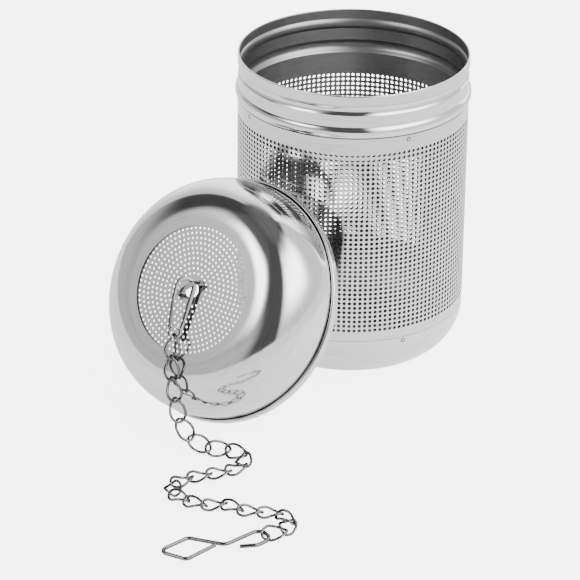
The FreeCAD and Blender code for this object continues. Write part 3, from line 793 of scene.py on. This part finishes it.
def dome():
    """The lid's shell, a hair lower than its drawing so that the second link clears it
    when the clasp swings, with the fold that runs round its hem."""
    turn = SHOULDER_TURN
    end = (FLAT_RADIUS + SHOULDER_RADIUS * math.sin(turn),
           LID_TOP - SHOULDER_RADIUS * (1 - math.cos(turn)))
    end_in = (end[0] - SHEET * math.sin(turn), end[1] - SHEET * math.cos(turn))
    flank = (CREASE_RADIUS - end[0]) / (1 - math.sin(turn))
    foot = end[1] - flank * math.cos(turn)
    inside = CREASE_RADIUS - SHEET
    mesh = spun_mesh("dome", [
        (WINDOW_RADIUS, LID_TOP - SHEET),
        (FLAT_RADIUS, LID_TOP - SHEET, -(SHOULDER_RADIUS - SHEET), 22),
        (*end_in, -(flank - SHEET), 8),
        (inside, foot),
        (inside, 0.0),
        (HEM_RADIUS - HEM_EDGE_ROUND, 0.0, HEM_EDGE_ROUND, 5),
        (HEM_RADIUS, HEM_EDGE_ROUND),
        (HEM_RADIUS, HEM_HEIGHT - FOLD_ROUND, FOLD_ROUND, 6),
        (HEM_RADIUS - FOLD_ROUND, HEM_HEIGHT),
        (CREASE_RADIUS + FOLD_GAP, HEM_HEIGHT - FOLD_LIP),
        (CREASE_RADIUS + FOLD_GAP, HEM_HEIGHT - FOLD_DEPTH),
        (CREASE_RADIUS, HEM_HEIGHT - FOLD_DEPTH),
        (CREASE_RADIUS, foot, flank, 8),
        (*end, SHOULDER_RADIUS, 26),
        (FLAT_RADIUS, LID_TOP),
        (WINDOW_RADIUS, LID_TOP),
    ], DOME_STEPS)
    mesh.materials.append(LID_MIRROR)
    line_lid(mesh)
    finish_piece("dome", mesh, "lid", "polished_sheet", "lid_dome", place=LID)


def strainer_disc():
    """The flat disc under the window: rings of small holes, the last one close to the
    window's edge, and a plain hole in the middle."""
    bm = bmesh.new()
    level = LID_TOP - SHEET - DISC_GAUGE
    rounds = [
        (0.0, 0.0, WINDOW_RADIUS + DISC_OVERLAP, DISC_STEPS),
        (0.0, 0.0, HUB_HOLE, HUB_STEPS),
    ]
    radius = FIRST_RING
    while radius + DISC_HOLE < WINDOW_RADIUS:
        count = round(math.tau * radius / DISC_PITCH)
        for index in range(count):
            angle = math.tau * index / count
            across = radius * math.cos(angle)
            up = radius * math.sin(angle)
            rounds.append((across, up, DISC_HOLE, DISC_HOLE_STEPS))
        radius += DISC_PITCH
    for across, up, size, steps in rounds:
        place = Matrix.Translation((across, up, level))
        bmesh.ops.create_circle(
            bm, segments=steps, radius=size, cap_ends=False, matrix=place)
    plate_from_outlines(bm, DISC_GAUGE)
    mesh = mesh_from(bm, "strainer_disc")
    mesh.materials.append(LID_PUNCHED)
    finish_piece(mesh.name, mesh, "lid", "perforated_sheet", "lid_strainer", place=LID)


# ------------------------------------------------------------------ strap and clasp


def stamped_piece(name, corners, hole, thickness, edge, place, node, body, metals):
    """A stamped plate in its own XY plane, half its thickness on each side, with rolled
    edges. The hole is (across, up, radius) or None; the metals are for the two faces and
    for all round the edge."""
    bm = bmesh.new()
    ring = [bm.verts.new((point.x, point.y, -thickness / 2)) for point in outline(corners)]
    for index in range(len(ring)):
        bm.edges.new((ring[index - 1], ring[index]))
    if hole:
        centre = Matrix.Translation((hole[0], hole[1], -thickness / 2))
        bmesh.ops.create_circle(
            bm, segments=EYE_STEPS, radius=hole[2], cap_ends=False, matrix=centre)
    bmesh.ops.remove_doubles(bm, verts=bm.verts, dist=PLATE_MERGE)
    plate_from_outlines(bm, thickness)
    rims = [item for item in bm.edges
            if len(item.link_faces) == 2 and item.calc_face_angle() > ROLLED_CORNER
            and abs(item.verts[0].co.z - item.verts[1].co.z) < SLIVER]
    bmesh.ops.bevel(bm, geom=rims, offset=edge, offset_type="OFFSET", segments=3,
                    profile=0.5, affect="EDGES", material=-1, clamp_overlap=True)
    mesh = mesh_from(bm, name)
    for metal in metals:
        mesh.materials.append(metal)
    # Painted shade: the edge faces all round get the dark edge metal as an outline.
    for face in mesh.polygons:
        if abs(face.normal.z) < SHADED_EDGE_FROM:
            face.material_index = 1
    finish_piece(name, mesh, body, "stamped_strip", node, place=place, sharp=PLATE_CORNER)


def strap_strip():
    """The staple-shaped strap across the strainer's middle hole."""
    seat = LID_TOP - SHEET
    crest = LID_HEIGHT + STRAP_RISE + STRAP_GAUGE / 2
    lap = STRAP_GAUGE / 2
    knee = STRAP_TOP + STRAP_SLOPE
    toe = knee + STRAP_FOOT
    side = Matrix.Rotation(STRAP_TURN, 4, "Z") @ Matrix.Rotation(math.pi / 2, 4, "X")
    stamped_piece("strap_strip", [
        (-toe, seat),
        (lap - knee, seat),
        (lap / 2 - STRAP_TOP, crest - STRAP_GAUGE),
        (STRAP_TOP - lap / 2, crest - STRAP_GAUGE),
        (knee - lap, seat),
        (toe, seat),
        (toe, seat + STRAP_GAUGE),
        (knee, seat + STRAP_GAUGE),
        (STRAP_TOP, crest),
        (-STRAP_TOP, crest),
        (-knee, seat + STRAP_GAUGE),
        (-toe, seat + STRAP_GAUGE),
    ], None, STRAP_WIDTH, STRAP_EDGE, LID @ side, "strap", "lid", (STRIP, STRIP))


def clasp():
    """The clasp with its crown, nose, long leg and eye, and the gate that shuts it."""
    inner = (LEG_INSIDE + LONG_INSIDE) / 2
    middle = (LEG_INSIDE - LONG_INSIDE) / 2
    level = inner - CROWN_APEX
    heel = math.sqrt(EYE_OUTER ** 2 - HEEL_INSIDE ** 2)
    stamped_piece("clasp_frame", [
        (CROWN_RADIUS, 0),
        (CROWN_RADIUS, NOSE_DROP),
        (LEG_INSIDE, NOSE_DROP),
        (LEG_INSIDE, level, -inner, 8),
        (middle, -CROWN_APEX, -inner, 8),
        (-LONG_INSIDE, level),
        (-HEEL_INSIDE, EYE_DISTANCE - heel, EYE_OUTER, 8),
        (EYE_OUTER, EYE_DISTANCE, EYE_OUTER, 8),
        (0, EYE_DISTANCE + EYE_OUTER, EYE_OUTER, 8),
        (-EYE_OUTER, EYE_DISTANCE),
        (-CROWN_RADIUS, 0, CROWN_RADIUS, 12),
        (0, -CROWN_RADIUS, CROWN_RADIUS, 12),
    ], (0, EYE_DISTANCE, EYE_INNER), CLASP_PLATE, CLASP_EDGE, CLASP, "clasp_body",
        "clasp", (STRIP, SHEARED_EDGE_SHADE))
    across, along = GATE_PIVOT
    tip = NOSE_DROP + GATE_GAP
    stamped_piece("clasp_spring", [
        (GATE_OUTSIDE - GATE_GAUGE, tip),
        (GATE_OUTSIDE, tip),
        (across + GATE_ROOT, along, GATE_ROOT, 6),
        (across, along + GATE_ROOT, GATE_ROOT, 6),
        (across - GATE_ROOT, along),
    ], None, GATE_WIDTH, GATE_EDGE, CLASP, "clasp_gate", "gate", (SPRING, SHEARED_EDGE_SHADE))


# ------------------------------------------------------------------ CAD pieces


def finish_nodes():
    """The chain's links and the hook keep their own shape and get their metal."""
    for name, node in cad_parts.items():
        if name.startswith("chain_link") or name == "hook":
            node.data.materials.clear()
            node.data.materials.append(WIRE)
            node.data.shade_smooth()
            node.data.set_sharp_from_angle(angle=WIRE_CORNER)


# ------------------------------------------------------------------ studio


def panel(tree, azimuth, elevation, sides, heights, soft, level):
    """One light panel of the studio: bright between two azimuths and two elevations."""
    shape = ramp(tree, azimuth, sides[0] - soft, sides[0] + soft)
    for feed, start, end in (
            (azimuth, sides[1] + soft, sides[1] - soft),
            (elevation, heights[0] - soft, heights[0] + soft),
            (elevation, heights[1] + soft, heights[1] - soft)):
        shape = math_node(tree, "MULTIPLY", shape, ramp(tree, feed, start, end))
    return math_node(tree, "MULTIPLY", shape, level)


# Light panels round the object: azimuths from the front, anticlockwise seen from above,
# and elevations, then the softness of the edges, all in degrees; last the brightness.
PANELS = [
    # Left and behind: a wide screen, the brighter middle of it, and its end past 180.
    ((-200, -97), (-30, 69), 4, 1.2),
    ((-200, -122), (-30, 60), 22, 2.6),
    ((165, 200), (-30, 69), 4, 3.8),
    # Front left: a low screen, then the window and the glow round it.
    ((-99, 9), (-30, 24), 11, 0.84),
    ((-50, 1), (27, 46), 9, 1.6),
    ((-34, -6), (26, 46), 7, 6.5),
    # Faint light above the window and in the dark stretch beside it.
    ((-50, 5), (47, 68), 6, 0.09),
    ((0, 48), (-30, 66), 6, 0.04),
    # Right: a wide screen and the window in it.
    ((54, 168), (-30, 64), 5, 1.4),
    ((62, 125), (22, 60), 16, 6.5),
    # Ceiling.
    ((-200, 200), (72, 100), 8, 0.14),
]
# Brightness where no panel shines.
SHADE = 0.09

# The floor, in metres: it lies a hair below the lowest piece.
FLOOR_SIZE = 2.5
FLOOR_PAINT = (0.62, 0.62, 0.62)
FLOOR_ROUGHNESS = 0.6
FLOOR_CENTRE = (0.04, 0.03)
FLOOR_GAP = 0.0001
# How bright the camera sees it, and the pool of light that the pieces see: how far from
# its middle it starts and ends to fade, and how bright it is there.
FLOOR_GLOW = 5.0
POOL_REACH = (0.03, 0.22)
POOL_GLOW = (1.3, 0.62)

# The camera's place, and which way its right and its top point.
CAMERA_PLACE = (419.928, -583.814, 368.147)
CAMERA_RIGHT = (0.79673, 0.60424, 0.01049)
CAMERA_UP = (-0.27552, 0.34773, 0.89620)
CAMERA_LENS = 203.6


def studio_world():
    """The panels, as the light that comes from each direction."""
    world = bpy.data.worlds.new("studio")
    world.use_nodes = True
    tree = world.node_tree
    axes = tree.nodes.new("ShaderNodeSeparateXYZ")
    direction = tree.nodes.new("ShaderNodeTexCoord").outputs["Generated"]
    tree.links.new(direction, axes.inputs[0])
    front = math_node(tree, "MULTIPLY", axes.outputs["Y"], -1.0)
    turn = math_node(tree, "ARCTAN2", axes.outputs["X"], front)
    azimuth = math_node(tree, "DEGREES", turn)
    elevation = math_node(tree, "DEGREES", math_node(tree, "ARCSINE", axes.outputs["Z"]))
    total = SHADE
    for sides, heights, soft, level in PANELS:
        light = panel(tree, azimuth, elevation, sides, heights, soft, level)
        total = math_node(tree, "ADD", light, total)
    tree.links.new(total, tree.nodes["Background"].inputs["Strength"])
    tree.nodes["Background"].inputs["Color"].default_value = (1, 1, 1, 1)
    bpy.context.scene.world = world


def floor():
    """A pale sheet that glows as if lit through from below, most near its middle, and
    looks brighter still to the camera."""
    bm = bmesh.new()
    bmesh.ops.create_grid(bm, x_segments=1, y_segments=1, size=FLOOR_SIZE)
    mesh = mesh_from(bm, "floor")
    piece = bpy.data.objects.new("floor", mesh)
    bpy.context.scene.collection.objects.link(piece)
    piece.location = (*FLOOR_CENTRE, cad_box[0].z - FLOOR_GAP)
    paint = bpy.data.materials.new("floor_paint")
    paint.use_nodes = True
    tree = paint.node_tree
    shader = tree.nodes["Principled BSDF"]
    shader.inputs["Base Color"].default_value = (*FLOOR_PAINT, 1)
    shader.inputs["Roughness"].default_value = FLOOR_ROUGHNESS
    shader.inputs["Specular IOR Level"].default_value = 0.0
    shader.inputs["Emission Color"].default_value = (1, 1, 1, 1)
    place = tree.nodes.new("ShaderNodeVectorMath")
    place.operation = "LENGTH"
    coord = tree.nodes.new("ShaderNodeTexCoord").outputs["Object"]
    tree.links.new(coord, place.inputs[0])
    pool = ramp(tree, place.outputs["Value"], *POOL_REACH, *POOL_GLOW)
    seen = tree.nodes.new("ShaderNodeLightPath").outputs["Is Camera Ray"]
    glow = math_node(tree, "MULTIPLY", seen, FLOOR_GLOW)
    glow = math_node(tree, "MAXIMUM", pool, glow)
    tree.links.new(glow, shader.inputs["Emission Strength"])
    mesh.materials.append(paint)


def camera():
    """Where the viewer stands, and the long lens used."""
    place = Vector(CAMERA_PLACE) * MM
    right = Vector(CAMERA_RIGHT)
    up = Vector(CAMERA_UP)
    back = right.cross(up).normalized()
    up = back.cross(right).normalized()
    turn = Matrix((right, up, back)).transposed()
    lens = bpy.data.cameras.new("camera")
    lens.sensor_width = 36
    lens.lens = CAMERA_LENS
    lens.clip_start = 0.01
    holder = bpy.data.objects.new("camera", lens)
    holder.matrix_world = Matrix.Translation(place) @ turn.to_4x4()
    bpy.context.scene.collection.objects.link(holder)
    bpy.context.scene.camera = holder


collar()
wall()
cup()
weld_marks()
dome()
strainer_disc()
strap_strip()
clasp()
finish_nodes()
studio_world()
floor()
camera()
